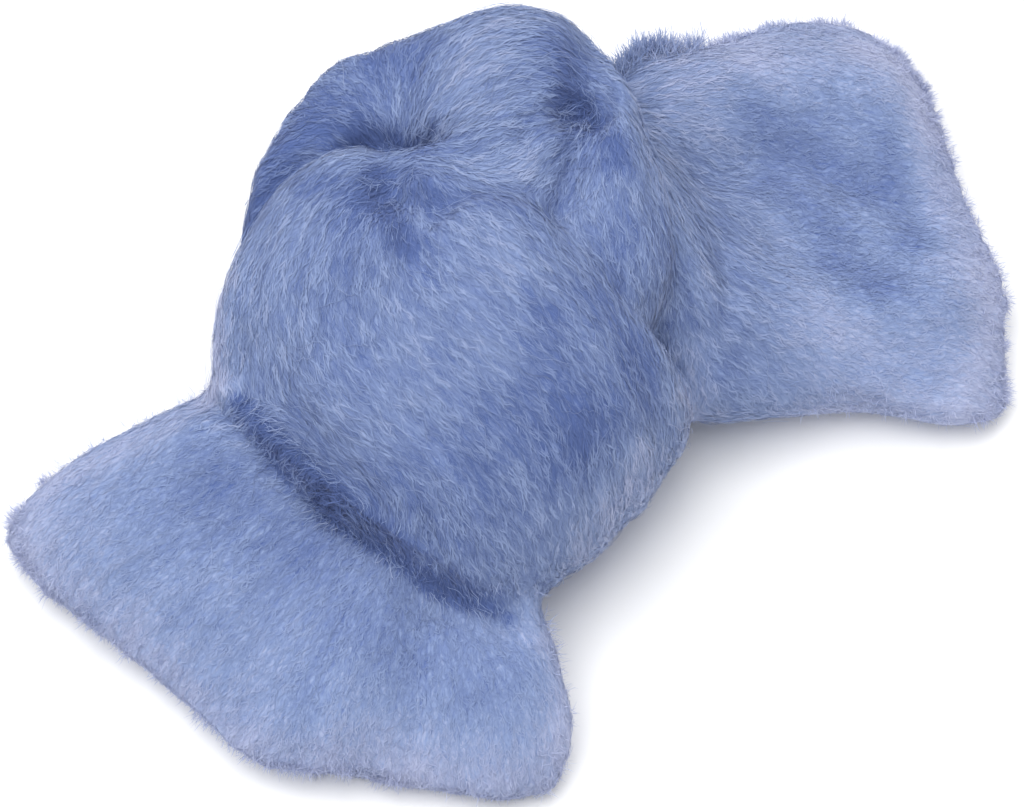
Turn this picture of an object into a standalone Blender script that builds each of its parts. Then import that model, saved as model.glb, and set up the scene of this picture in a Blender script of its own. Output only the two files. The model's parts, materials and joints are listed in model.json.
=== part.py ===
"""Wool roving: one combed sliver, tied in a loose overhand knot, both ends fanned out flat.

The piece is one solid. The sliver is a soft flat band about 40 mm wide. SECTIONS follows it from
the rim of its first end, under the knot's small lobe, round a turn, over as the broad front
band, down and back underneath, up and over as the arch, down through the knot again and out to
the rim of its second end. A closed skin is swept through the sections. Where the sliver lies on
itself the skins are fused, as the fibres cling there, and FOLDS then presses in the creases and
lifts the soft ridges. The underside is flat where it lies on a table, and short locks of fibre
stand out of the two torn rims.

Metres, +Z up. The origin is below the middle of the piece, on the table.
"""

import math
import random
from collections import namedtuple

import bmesh
import bpy
import numpy as np
from mathutils import Vector
from mathutils.bvhtree import BVHTree

MM = 0.001

# ---------------------------------------------------------------- driving dimensions, mm

VOXEL = 2.5              # size of the grid that fuses the swept skin
SMOOTH_ROUNDS = 3        # passes that soften the fused skin
STEPS_PER_SECTION = 8    # rings swept between two sections
RING_POINTS = 40         # points round each ring
EDGE_ROUNDNESS = 2.4     # 2 is an ellipse, more is a flatter band with fuller edges
TABLE = 0.9              # height of the table in the sections' measures
TABLE_SNAP = 0.35        # points this near the table are pulled onto it
CREASE_SHARE = 0.5       # how much of the folds' softening a second smoothing takes

LOCK_LENGTH = (1.2, 2.6)     # shortest and longest lock of fibre at a torn rim
LOCK_TIP = 0.3               # a lock's tip, as a share of its root
LOCK_SPREAD = 3.2            # how far from a rim's line a lock may root
LOCK_SHARE = 0.55            # how many of the faces there are drawn out
LOCK_BAND = (1.5, 9.0)       # heights between which the locks root
LOCK_STEEPEST = 0.6         # a face roots a lock only if it stands about upright
LOCK_LIFT = 0.5              # a lock's tip stays this far above the table
SEED = 11

WOOL_COLOUR = (0.215, 0.325, 0.600, 1.0)
WOOL_ROUGHNESS = 0.92

# The sliver from one end to the other. left and right are its two edges (x, y, z), seen along
# the way it runs. thickness is measured in its middle. reach is how far its middle runs ahead
# of its edges (a minus sign: behind them), which rounds the two rims.
Section = namedtuple("Section", "name left right thickness reach")
SECTIONS = [
    Section("first rim", (45.5, 49, 3), (56, -2.5, 3), 5, -3.5),
    Section("first fan, outer", (40, 51, 5), (50, -4.4, 5), 9, -2),
    Section("first fan, middle", (31, 49.5, 7), (39, -3, 6), 12, -1),
    Section("first fan, inner", (21, 43.2, 9), (29, -5.1, 8.5), 15, 0),
    Section("first neck", (12, 40.2, 12.5), (21, -6.5, 11.5), 17, 0),
    Section("under the small lobe", (7, 28, 18), (17, -2, 16.5), 17, 0),
    Section("coming into the knot", (-2, 20, 27), (5, 5, 25), 14, 0),
    Section("turn, start", (-11, 16, 28), (-5, 5, 27), 13, 0),
    Section("turn, back", (-21, 15, 27), (-11, 7, 29), 14, 0),
    Section("turn, side", (-28, 9, 24), (-12, 8, 31), 16, 0),
    Section("turn, end", (-33.5, -1, 18), (-10, 7, 32), 18, 0),
    Section("band, start", (-34, -8, 15), (-3, 8, 32), 19, 0),
    Section("band, upper", (-24, -18, 17), (5, 5, 31), 19, 0),
    Section("band, lower", (-14, -26, 17), (13, -2, 26), 18, 0),
    Section("band, edge", (-6, -29.6, 14), (17, -5.6, 20), 14, 0),
    Section("wrap, side", (-3, -28.6, 11), (18, -4.6, 12), 12, 0),
    Section("wrap, bottom", (-6, -24, 6), (15, -2, 6), 12, 0),
    Section("underneath, start", (-13, -17, 5), (6, 2, 5), 12, 0),
    Section("underneath, middle", (-24, -7, 5), (-3, 14, 5), 12, 0),
    Section("underneath, end", (-32, 4, 6), (-12, 23, 7), 12, 0),
    Section("left lobe, lower", (-32.5, 12, 10), (-17, 17, 14), 12, 0),
    Section("left lobe, upper", (-30.4, 20.5, 15), (-16, 20, 19), 17, 0),
    Section("arch, left", (-21.6, 31.8, 18), (-13, 19, 21), 19, 0),
    Section("arch, upper left", (-11, 34.9, 18.5), (-9, 17.5, 24), 20, 0),
    Section("arch, top", (0, 37.9, 21.5), (-2, 15, 27.5), 20, 0),
    Section("arch, right", (8, 33.7, 22), (3, 17, 29), 18, 0),
    Section("pinch", (12.5, 24, 25), (4, 18, 28), 14, 0),
    Section("small lobe", (16, 12, 23.5), (3, 10, 28), 14, 0),
    Section("going under the band", (16, 2, 21.5), (-1, 5, 25), 15, 0),
    Section("under the band", (8, -12, 14), (-16, 2, 16), 13, 0),
    Section("second neck", (2.5, -28, 12), (-37, -6, 13), 15, 0),
    Section("second fan, inner", (5, -37, 8), (-48, -9.5, 9), 13, 2),
    Section("second fan, outer", (6.5, -43, 6), (-55.5, -14.5, 6), 10, 7),
    Section("second rim", (5, -49.5, 3), (-58.6, -18, 3), 5, 11),
]

# The torn edges are not even. place (x, y) is where the wool is pulled out or in, move (x, y)
# is how far, and width is how far that reaches.
Pull = namedtuple("Pull", "name place move width")
PULLS = [
    Pull("first rim, hollow", (51, 27), (-1.5, 0.2), 7),
    Pull("first rim, bulge", (57, 12), (0.9, 0.0), 5),
    Pull("second rim, flat side", (-42, -38), (1.2, 1.8), 10),
    Pull("second rim, corner", (-30, -47), (-0.4, -1.5), 6),
    Pull("second rim, lower side", (-14, -50), (0.0, 1.2), 6),
    Pull("second rim, right side", (-2, -52), (0.0, -0.8), 5),
    Pull("second rim, round corner", (6, -51), (-0.7, 0.2), 3),
]

# Creases and ridges of the upper side. points (x, y) run along the fold, height is how far it
# stands up (a minus sign: how deep it is), width is how far it reaches to each side.
Fold = namedtuple("Fold", "name points height width")
FOLDS = [
    Fold("arch, left flank", ((-28, 24), (-22, 26), (-15, 25)), -1.5, 4.0),
    Fold("hollow under the arch", ((-30, 14), (-25, 18), (-19, 20)), -2, 2.5),
    Fold("pit", ((-17, 19.5), (-14.5, 19)), -3.5, 1.8),
    Fold("arch meets the band", ((-11, 17.5), (-3, 16.5), (3, 17.5)), 3, 3.0),
    Fold("crease at the pinch", ((1, 16), (5, 19), (9, 22)), -1, 1.8),
    Fold("pinch", ((8, 31), (8, 25), (7.7, 21)), -2.5, 2.8),
    Fold("streak at the turn", ((-14.5, 13), (-14, 6), (-11, 0)), -1.2, 2.6),
    Fold("turn meets the band", ((-9, 8), (-3, 7), (2, 6)), 1.8, 2.5),
    Fold("ball, left side", ((-30, -7), (-22, -4), (-15, 0)), 0.8, 4.0),
    Fold("crease below the band", ((-31, -8), (-23, -19), (-13, -28), (-2, -34)), -3.2, 4.0),
    Fold("small lobe, left crease", ((9, 20), (6, 14), (4, 7)), -1.2, 1.8),
    Fold("small lobe, right crease", ((15, 16), (15.5, 8), (17, 3), (19.5, -1)), -1.2, 1.8),
    Fold("first fan, valley", ((21, 22), (27, 25), (35, 27), (46, 23)), -2.5, 4.0),
    Fold("first fan, upper pad", ((24, 37), (33, 39), (43, 39)), 3.5, 6.0),
    Fold("first fan, second valley", ((30, 16), (44, 15)), -1.2, 4.0),
    Fold("first fan, middle pad", ((27, 8), (37, 6), (49, 9)), 1.8, 4.5),
    Fold("first fan, long ridge", ((26, 2), (33, 0), (41, -2)), 1.6, 3.0),
    Fold("second fan, left pad", ((-35, -14), (-46, -24)), 2, 6.0),
    Fold("second fan, left valley", ((-24, -24), (-30, -40)), -1, 3.5),
    Fold("second fan, middle pad", ((-16, -30), (-20, -43)), 1.5, 4.5),
    Fold("second fan, right valley", ((-9, -33), (-12, -44)), -0.8, 3.0),
    Fold("second fan, right pad", ((-2, -36), (0, -46)), 1.2, 5.0),
]

# The edge of the first fan that is torn too: locks stand up from the left edges of these
# sections, shorter than those of the rims.
TUFTED_EDGE = ("first neck", "first fan, inner", "first fan, middle", "first fan, outer")
TUFT_SHARE = 0.6


# ---------------------------------------------------------------- sweeping the sliver

def curve_through(rows, steps):
    """Return rows of numbers on a smooth (Catmull-Rom) curve through the given rows."""
    rows = np.array(rows, float)
    before = 2 * rows[0] - rows[1]
    after = 2 * rows[-1] - rows[-2]
    padded = np.vstack([before, rows, after])
    curve = []
    for i in range(len(rows) - 1):
        a, b, c, d = padded[i:i + 4]
        for step in range(steps):
            t = step / steps
            point = 2 * b + (c - a) * t + (2 * a - 5 * b + 4 * c - d) * t ** 2
            curve.append((point + (3 * b - a - 3 * c + d) * t ** 3) / 2)
    curve.append(rows[-1])
    return np.array(curve)


def pull_edges(rings):
    """Return the rings with the torn edges pulled out and in."""
    for pull in PULLS:
        gap = np.linalg.norm(rings[..., :2] - np.array(pull.place, float), axis=-1)
        share = np.exp(-(gap / pull.width) ** 2)[..., None]
        rings[..., :2] += share * np.array(pull.move, float)
    return rings


def sliver_rings():
    """Return the sliver's rings, each a closed loop of points round one cross-section."""
    rows = [[*s.left, *s.right, s.thickness, s.reach] for s in SECTIONS]
    curve = curve_through(rows, STEPS_PER_SECTION)
    left, right = curve[:, 0:3], curve[:, 3:6]
    thickness, reach = curve[:, 6, None, None], curve[:, 7, None, None]
    middle = (left + right) / 2
    ahead = np.gradient(middle, axis=0)
    ahead /= np.linalg.norm(ahead, axis=1)[:, None]
    across = (right - left) / 2
    up = np.cross(ahead, across)
    up /= np.linalg.norm(up, axis=1)[:, None]
    level = ahead * (1, 1, 0)
    level /= np.linalg.norm(level, axis=1)[:, None]

    angle = np.linspace(0, 2 * math.pi, RING_POINTS, endpoint=False)
    power = 2 / EDGE_ROUNDNESS
    side = np.sign(np.cos(angle)) * np.abs(np.cos(angle)) ** power
    height = np.sign(np.sin(angle)) * np.abs(np.sin(angle)) ** power
    side, height = side[None, :, None], height[None, :, None]
    rings = middle[:, None] + across[:, None] * side + up[:, None] * height * thickness / 2
    return pull_edges(rings + level[:, None] * reach * (1 - side ** 2))


def skin(rings):
    """Return a bmesh tube through the rings, with a flat cap at each end."""
    bm = bmesh.new()
    loops = [[bm.verts.new(Vector(point) * MM) for point in ring] for ring in rings]
    for loop, following in zip(loops, loops[1:]):
        for i in range(RING_POINTS):
            j = (i + 1) % RING_POINTS
            bm.faces.new((loop[i], loop[j], following[j], following[i]))
    bm.faces.new(loops[0])
    bm.faces.new(loops[-1])
    bmesh.ops.recalc_face_normals(bm, faces=bm.faces)
    return bm


def fuse(bm):
    """Return a bmesh in which the skin is one closed surface, fused where it meets itself."""
    mesh = bpy.data.meshes.new("skin")
    bm.to_mesh(mesh)
    bm.free()
    guide = bpy.data.objects.new("skin", mesh)
    bpy.context.scene.collection.objects.link(guide)
    remesh = guide.modifiers.new("fuse", "REMESH")
    remesh.mode = "VOXEL"
    remesh.voxel_size = VOXEL * MM
    soften = guide.modifiers.new("soften", "SMOOTH")
    soften.factor = 0.5
    soften.iterations = SMOOTH_ROUNDS
    fused = bmesh.new()
    fused.from_object(guide, bpy.context.evaluated_depsgraph_get())
    bpy.data.objects.remove(guide)
    bpy.data.meshes.remove(mesh)
    return fused


# ---------------------------------------------------------------- folds, table and locks

def torn_edges(rings):
    """Return a line (x, y) along each torn edge, with the share of the full lock length there."""
    tufted = [section.left[:2] for section in SECTIONS if section.name in TUFTED_EDGE]
    first_rim = rings[0, :RING_POINTS // 2, :2]
    second_rim = rings[-1, :RING_POINTS // 2, :2]
    return [(first_rim, 1.0), (second_rim, 1.0), (tufted, TUFT_SHARE)]


def distance_to_line(point, line):
    """Return how far a point (x, y) is from a line through several points, all in mm."""
    nearest = math.inf
    for start, end in zip(line, line[1:]):
        start, along = np.array(start, float), np.subtract(end, start)
        share = np.clip(np.dot(point - start, along) / np.dot(along, along), 0, 1)
        nearest = min(nearest, np.linalg.norm(point - start - share * along))
    return nearest


def press_folds(bm):
    """Move the points that are open to the sky up or down where a fold passes."""
    tree = BVHTree.FromBMesh(bm)
    bm.normal_update()
    sky = Vector((0, 0, 1))
    for vert in bm.verts:
        facing = min(max(vert.normal.z - 0.1, 0) / 0.5, 1)
        if facing == 0:
            continue
        if tree.ray_cast(vert.co + vert.normal * 0.5 * MM, sky)[0] is not None:
            continue
        place = np.array(vert.co.xy) / MM
        for fold in FOLDS:
            distance = distance_to_line(place, fold.points)
            if distance < 3 * fold.width:
                amount = math.exp(-(distance / fold.width) ** 2)
                vert.co.z += fold.height * amount * facing * MM
    bmesh.ops.smooth_vert(bm, verts=bm.verts, factor=CREASE_SHARE,
                          use_axis_x=True, use_axis_y=True, use_axis_z=True)


def rest_on_table(bm):
    """Flatten the underside where it lies on the table, and put the table at height 0."""
    for vert in bm.verts:
        if abs(vert.co.z - TABLE * MM) < TABLE_SNAP * MM:
            vert.co.z = TABLE * MM
    bmesh.ops.translate(bm, verts=bm.verts, vec=(0, 0, -TABLE * MM))
    everything = bm.verts[:] + bm.edges[:] + bm.faces[:]
    bmesh.ops.bisect_plane(bm, geom=everything, dist=0.001 * MM, plane_co=(0, 0, 0),
                           plane_no=(0, 0, 1), clear_inner=True)
    flat = [face for face in bm.faces if all(abs(v.co.z) < 0.01 * MM for v in face.verts)]
    bmesh.ops.delete(bm, geom=flat, context="FACES_ONLY")
    bmesh.ops.delete(bm, geom=[edge for edge in bm.edges if edge.is_wire], context="EDGES")
    bmesh.ops.delete(bm, geom=[vert for vert in bm.verts if not vert.link_edges], context="VERTS")
    rim = [edge for edge in bm.edges if edge.is_boundary]
    cap = bmesh.ops.triangle_fill(bm, edges=rim, use_beauty=True, normal=(0, 0, -1))
    faces = [item for item in cap["geom"] if isinstance(item, bmesh.types.BMFace)]
    print(f"underside: {sum(face.calc_area() for face in faces) / MM ** 2:.0f} mm2 on the table")


def draw_out_locks(bm, edges):
    """Draw faces along the torn edges out into short pointed locks. Return how many."""
    draw = random.Random(SEED)
    bm.normal_update()
    roots = []
    for face in bm.faces:
        centre = face.calc_center_median() / MM
        if abs(face.normal.z) > LOCK_STEEPEST or len(face.verts) != 4:
            continue
        if not LOCK_BAND[0] < centre.z < LOCK_BAND[1]:
            continue
        for line, length_share in edges:
            if distance_to_line(np.array(centre.xy), line) < LOCK_SPREAD:
                if draw.random() < LOCK_SHARE:
                    roots.append((face, length_share))
                break
    shares = {face.index: share for face, share in roots}
    drawn = bmesh.ops.extrude_discrete_faces(bm, faces=[face for face, _ in roots])["faces"]
    for tip, share in zip(drawn, shares.values()):
        middle = tip.calc_center_median()
        way = tip.normal + Vector([draw.uniform(-0.35, 0.35) for _ in range(3)])
        way.normalize()
        length = draw.uniform(*LOCK_LENGTH) * share * MM
        for vert in tip.verts:
            vert.co = middle + (vert.co - middle) * LOCK_TIP + way * length
            vert.co.z = max(vert.co.z, LOCK_LIFT * MM)
    return len(drawn)


def centre_over_origin(bm):
    """Move the piece so that its outline's middle is over the origin. Return the move in mm."""
    corners = np.array([vert.co for vert in bm.verts])
    middle = (corners.min(axis=0) + corners.max(axis=0)) / 2
    shift = Vector((-middle[0], -middle[1], 0))
    bmesh.ops.translate(bm, verts=bm.verts, vec=shift)
    return shift / MM


# ---------------------------------------------------------------- the piece

def wool():
    """Return the dyed wool's material."""
    material = bpy.data.materials.new("wool")
    material.use_nodes = True
    shader = material.node_tree.nodes["Principled BSDF"]
    shader.inputs["Base Color"].default_value = WOOL_COLOUR
    shader.inputs["Roughness"].default_value = WOOL_ROUGHNESS
    shader.inputs["Metallic"].default_value = 0.0
    return material


def make_roving():
    """Make the one object, the knotted sliver."""
    rings = sliver_rings()
    bm = fuse(skin(rings))
    press_folds(bm)
    rest_on_table(bm)
    locks = draw_out_locks(bm, torn_edges(rings))
    shift = centre_over_origin(bm)
    bmesh.ops.recalc_face_normals(bm, faces=bm.faces)
    mesh = bpy.data.meshes.new("roving")
    bm.to_mesh(mesh)
    bm.free()
    mesh.shade_smooth()
    mesh.materials.append(wool())
    roving = bpy.data.objects.new("roving", mesh)
    bpy.context.scene.collection.objects.link(roving)
    triangles = sum(len(face.vertices) - 2 for face in mesh.polygons)
    sides = ", ".join(f"{side / MM:.1f}" for side in roving.dimensions)
    print(f"roving: {triangles} triangles, {locks} locks, {sides} mm")
    print(f"moved by {shift.x:.2f}, {shift.y:.2f} mm to stand over the origin")


for leftover in list(bpy.data.objects):
    bpy.data.objects.remove(leftover)
make_roving()
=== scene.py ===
# %% [markdown]
# A knotted length of wool roving.
#
# Roving, or combed top, is a soft band of parallel wool fibres that has not been spun yet. This
# one is dyed periwinkle blue, tied in a loose overhand knot and fanned out flat at both ends.
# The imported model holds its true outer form. Here it gets its surface: a finer body with
# combed grooves, nearly two hundred thousand crimped fibres on it, and the fuzz of its ends.

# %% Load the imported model
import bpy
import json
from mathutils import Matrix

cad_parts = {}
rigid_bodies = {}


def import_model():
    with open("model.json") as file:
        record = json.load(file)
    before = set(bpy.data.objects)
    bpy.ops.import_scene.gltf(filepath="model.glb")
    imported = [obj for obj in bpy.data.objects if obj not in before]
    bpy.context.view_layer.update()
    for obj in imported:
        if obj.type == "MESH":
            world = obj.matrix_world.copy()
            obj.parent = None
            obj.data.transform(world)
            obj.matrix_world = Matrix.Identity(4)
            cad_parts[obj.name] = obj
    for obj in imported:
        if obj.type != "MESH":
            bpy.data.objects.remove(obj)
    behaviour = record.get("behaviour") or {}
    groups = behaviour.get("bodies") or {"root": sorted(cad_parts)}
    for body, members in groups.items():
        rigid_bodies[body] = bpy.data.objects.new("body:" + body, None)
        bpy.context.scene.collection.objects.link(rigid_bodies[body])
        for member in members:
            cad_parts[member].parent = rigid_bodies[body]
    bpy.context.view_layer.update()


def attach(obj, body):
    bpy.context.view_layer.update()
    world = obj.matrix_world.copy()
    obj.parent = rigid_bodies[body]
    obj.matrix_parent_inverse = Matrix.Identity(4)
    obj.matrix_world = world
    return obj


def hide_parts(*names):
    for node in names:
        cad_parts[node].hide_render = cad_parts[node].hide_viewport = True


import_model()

import json
import math

import bmesh
import bpy
import numpy as np
from mathutils import Vector
from mathutils.bvhtree import BVHTree
from mathutils.kdtree import KDTree

MM = 0.001

# %% [markdown]
# The camera looks down at the piece, as over a table: 60 degrees above the horizon. It stands
# 450 mm away, which is far enough to keep the two fanned ends in proportion. The lens follows
# from the width of table that the view takes in, so the framing is one plain measure.

# %% The camera
CAMERA_DISTANCE = 450 * MM
CAMERA_ELEVATION = math.radians(60)
VIEW_WIDTH = 116.3 * MM
SENSOR_WIDTH = 36.0
CLIP_START = 10 * MM
LOOK_AT = Vector((-1.12, -4.21, 9.1)) * MM


def put_in_scene(name, data):
    """Make an object of the data, link it to the scene and return it."""
    made = bpy.data.objects.new(name, data)
    bpy.context.scene.collection.objects.link(made)
    return made


def turn_to(thing, back):
    """Turn a camera or light so that its back points the given way."""
    thing.rotation_mode = "QUATERNION"
    thing.rotation_quaternion = Vector(back).to_track_quat("Z", "Y")


def add_camera():
    """Add the camera and make it the scene's own."""
    data = bpy.data.cameras.new("camera")
    data.sensor_width = SENSOR_WIDTH
    data.lens = SENSOR_WIDTH * CAMERA_DISTANCE / VIEW_WIDTH
    data.clip_start = CLIP_START
    camera = put_in_scene("camera", data)
    back = Vector((0, -math.cos(CAMERA_ELEVATION), math.sin(CAMERA_ELEVATION)))
    camera.location = LOOK_AT + back * CAMERA_DISTANCE
    turn_to(camera, back)
    bpy.context.scene.camera = camera
    print(f"camera: lens {data.lens:.1f} mm")


add_camera()

# %% [markdown]
# The way of the sliver. A roving has no weave and no seam: it is one band of fibres, so its two
# edges and its thickness, given at 34 places along its length, say all there is. These are the
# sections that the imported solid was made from, in millimetres, and a smooth curve runs through
# them. Working from the same sections keeps the fine surface on the solid, and it also tells
# at every point which way the fibres run, which a bare mesh could not.

# %% The sections of the sliver, mm
# name, left edge (x, y, z), right edge (x, y, z), thickness, how far its middle runs ahead
SECTIONS = [
    ("first rim", (45.5, 49, 3), (56, -2.5, 3), 5, -3.5),
    ("first fan, outer", (40, 51, 5), (50, -4.4, 5), 9, -2),
    ("first fan, middle", (31, 49.5, 7), (39, -3, 6), 12, -1),
    ("first fan, inner", (21, 43.2, 9), (29, -5.1, 8.5), 15, 0),
    ("first neck", (12, 40.2, 12.5), (21, -6.5, 11.5), 17, 0),
    ("under the small lobe", (7, 28, 18), (17, -2, 16.5), 17, 0),
    ("coming into the knot", (-2, 20, 27), (5, 5, 25), 14, 0),
    ("turn, start", (-11, 16, 28), (-5, 5, 27), 13, 0),
    ("turn, back", (-21, 15, 27), (-11, 7, 29), 14, 0),
    ("turn, side", (-28, 9, 24), (-12, 8, 31), 16, 0),
    ("turn, end", (-33.5, -1, 18), (-10, 7, 32), 18, 0),
    ("band, start", (-34, -8, 15), (-3, 8, 32), 19, 0),
    ("band, upper", (-24, -18, 17), (5, 5, 31), 19, 0),
    ("band, lower", (-14, -26, 17), (13, -2, 26), 18, 0),
    ("band, edge", (-6, -29.6, 14), (17, -5.6, 20), 14, 0),
    ("wrap, side", (-3, -28.6, 11), (18, -4.6, 12), 12, 0),
    ("wrap, bottom", (-6, -24, 6), (15, -2, 6), 12, 0),
    ("underneath, start", (-13, -17, 5), (6, 2, 5), 12, 0),
    ("underneath, middle", (-24, -7, 5), (-3, 14, 5), 12, 0),
    ("underneath, end", (-32, 4, 6), (-12, 23, 7), 12, 0),
    ("left lobe, lower", (-32.5, 12, 10), (-17, 17, 14), 12, 0),
    ("left lobe, upper", (-30.4, 20.5, 15), (-16, 20, 19), 17, 0),
    ("arch, left", (-21.6, 31.8, 18), (-13, 19, 21), 19, 0),
    ("arch, upper left", (-11, 34.9, 18.5), (-9, 17.5, 24), 20, 0),
    ("arch, top", (0, 37.9, 21.5), (-2, 15, 27.5), 20, 0),
    ("arch, right", (8, 33.7, 22), (3, 17, 29), 18, 0),
    ("pinch", (12.5, 24, 25), (4, 18, 28), 14, 0),
    ("small lobe", (16, 12, 23.5), (3, 10, 28), 14, 0),
    ("going under the band", (16, 2, 21.5), (-1, 5, 25), 15, 0),
    ("under the band", (8, -12, 14), (-16, 2, 16), 13, 0),
    ("second neck", (2.5, -28, 12), (-37, -6, 13), 15, 0),
    ("second fan, inner", (5, -37, 8), (-48, -9.5, 9), 13, 2),
    ("second fan, outer", (6.5, -43, 6), (-55.5, -14.5, 6), 10, 7),
    ("second rim", (5, -49.5, 3), (-58.6, -18, 3), 5, 11),
]
# Torn edges are not even. name, place (x, y), how far the wool there is pulled (x, y), width, mm
PULLS = [
    ("first rim, hollow", (51, 27), (-1.5, 0.2), 7),
    ("first rim, bulge", (57, 12), (0.9, 0.0), 5),
    ("second rim, flat side", (-42, -38), (1.2, 1.8), 10),
    ("second rim, corner", (-30, -47), (-0.4, -1.5), 6),
    ("second rim, lower side", (-14, -50), (0.0, 1.2), 6),
    ("second rim, right side", (-2, -52), (0.0, -0.8), 5),
    ("second rim, round corner", (6, -51), (-0.7, 0.2), 3),
]
# The move, mm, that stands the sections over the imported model's origin, on its table.
STAND = np.array((-0.40, 0.33, -0.9))
STEPS_PER_SECTION = 12
RING_POINTS = 64
EDGE_ROUNDNESS = 2.4


def curve_through(rows, steps):
    """Return rows of numbers on a smooth (Catmull-Rom) curve through the given rows."""
    rows = np.array(rows, float)
    padded = np.vstack([2 * rows[0] - rows[1], rows, 2 * rows[-1] - rows[-2]])
    curve = []
    for i in range(len(rows) - 1):
        a, b, c, d = padded[i:i + 4]
        for t in np.arange(steps) / steps:
            point = 2 * b + (c - a) * t + (2 * a - 5 * b + 4 * c - d) * t ** 2
            curve.append((point + (3 * b - a - 3 * c + d) * t ** 3) / 2)
    curve.append(rows[-1])
    return np.array(curve)


def unit(vectors):
    """Return the vectors at length 1."""
    length = np.linalg.norm(vectors, axis=-1, keepdims=True)
    return vectors / np.maximum(length, 1e-12)


def pull_edges(rings):
    """Return the rings with the torn edges pulled out and in."""
    for _, place, move, width in PULLS:
        gap = np.linalg.norm(rings[..., :2] - np.array(place, float), axis=-1)
        rings[..., :2] += np.exp(-(gap / width) ** 2)[..., None] * np.array(move, float)
    return rings


def sliver_rings():
    """Return the sliver's rings in mm: an array of rings, points round each, and x, y, z."""
    rows = [[*left, *right, thick, reach] for _, left, right, thick, reach in SECTIONS]
    curve = curve_through(rows, STEPS_PER_SECTION)
    left, right = curve[:, 0:3], curve[:, 3:6]
    thickness, reach = curve[:, 6, None, None], curve[:, 7, None, None]
    middle = (left + right) / 2
    ahead = unit(np.gradient(middle, axis=0))
    across = (right - left) / 2
    up = unit(np.cross(ahead, across))
    level = unit(ahead * (1, 1, 0))
    angle = np.linspace(0, 2 * math.pi, RING_POINTS, endpoint=False)
    power = 2 / EDGE_ROUNDNESS
    side = (np.sign(np.cos(angle)) * np.abs(np.cos(angle)) ** power)[None, :, None]
    height = (np.sign(np.sin(angle)) * np.abs(np.sin(angle)) ** power)[None, :, None]
    rings = middle[:, None] + across[:, None] * side + up[:, None] * height * thickness / 2
    return pull_edges(rings + level[:, None] * reach * (1 - side ** 2)) + STAND


rings = sliver_rings()
middles = rings.mean(axis=1)
sliver_length = np.linalg.norm(np.diff(middles, axis=0), axis=1).sum()
print(f"sliver: {len(rings)} rings, {sliver_length:.0f} mm along its middle")

# %% [markdown]
# The body of the wool. The rings are joined by a loft: a circle for each ring, its points moved
# into place, and a bridge between each two. Where the sliver lies on itself the loft passes
# through itself, and a voxel remesh fuses that into one closed skin, as the fibres of the
# layers cling together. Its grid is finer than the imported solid's, so the creases stay crisp.

# %% Loft the rings and fuse the skin
BODY_VOXEL = 0.9         # mm
SMOOTH_ROUNDS = 3
SMOOTH_SHARE = 0.5


def loft(bm, rings):
    """Fill the bmesh with a tube through the rings, closed at both ends."""
    previous = None
    for ring in rings:
        made = bmesh.ops.create_circle(bm, segments=RING_POINTS, radius=1.0)
        for vert, point in zip(made["verts"], ring):
            vert.co = Vector(point) * MM
        edges = list({edge for vert in made["verts"] for edge in vert.link_edges})
        if previous is None:
            bmesh.ops.contextual_create(bm, geom=edges)
        else:
            bmesh.ops.bridge_loops(bm, edges=previous + edges)
        previous = edges
    bmesh.ops.contextual_create(bm, geom=previous)
    bmesh.ops.recalc_face_normals(bm, faces=bm.faces)


def fused_body(rings):
    """Return a new object with the lofted sliver, fused to one closed skin and softened."""
    bm = bmesh.new()
    loft(bm, rings)
    mesh = bpy.data.meshes.new("loft")
    bm.to_mesh(mesh)
    bm.free()
    guide = put_in_scene("loft", mesh)
    remesh = guide.modifiers.new("fuse", "REMESH")
    remesh.mode = "VOXEL"
    remesh.voxel_size = BODY_VOXEL * MM
    soften = guide.modifiers.new("soften", "SMOOTH")
    soften.factor = SMOOTH_SHARE
    soften.iterations = SMOOTH_ROUNDS
    finished = guide.evaluated_get(bpy.context.evaluated_depsgraph_get())
    fused = bpy.data.meshes.new_from_object(finished)
    bpy.data.objects.remove(guide)
    bpy.data.meshes.remove(mesh)
    fused.name = "wool_body"
    return put_in_scene("wool_body", fused)


body = fused_body(rings)
print(f"body: {len(body.data.polygons)} faces")

# %% Points and normals of a mesh
def read_vectors(mesh, name):
    """Return one of the mesh's vectors for each of its points."""
    flat = np.empty(len(mesh.vertices) * 3, np.float32)
    mesh.vertices.foreach_get(name, flat)
    return flat.reshape(-1, 3).astype(float)


def read_numbers(items, name, each=1):
    """Return a whole number of each of the mesh's items, or several of each."""
    flat = np.empty(len(items) * each, np.int32)
    items.foreach_get(name, flat)
    return flat


def mesh_points(mesh):
    """Return the mesh's points in mm."""
    return read_vectors(mesh, "co") / MM


def mesh_normals(mesh):
    """Return the mesh's smooth normals, one for each point."""
    return read_vectors(mesh, "normal")


def set_points(mesh, points):
    """Put the mesh's points at places given in mm."""
    mesh.vertices.foreach_set("co", (points * MM).astype(np.float32).ravel())
    mesh.update()


# %% [markdown]
# Folds and creases. Where the layers of the knot press on each other the wool is drawn in, and
# the fanned ends are not even but lie in soft pads and valleys. Each fold is a row of the table
# below: a line seen from above, how far it stands up or is pressed in, and how wide it is. Only
# points that are open to the sky move, and they move straight up or down.

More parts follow.
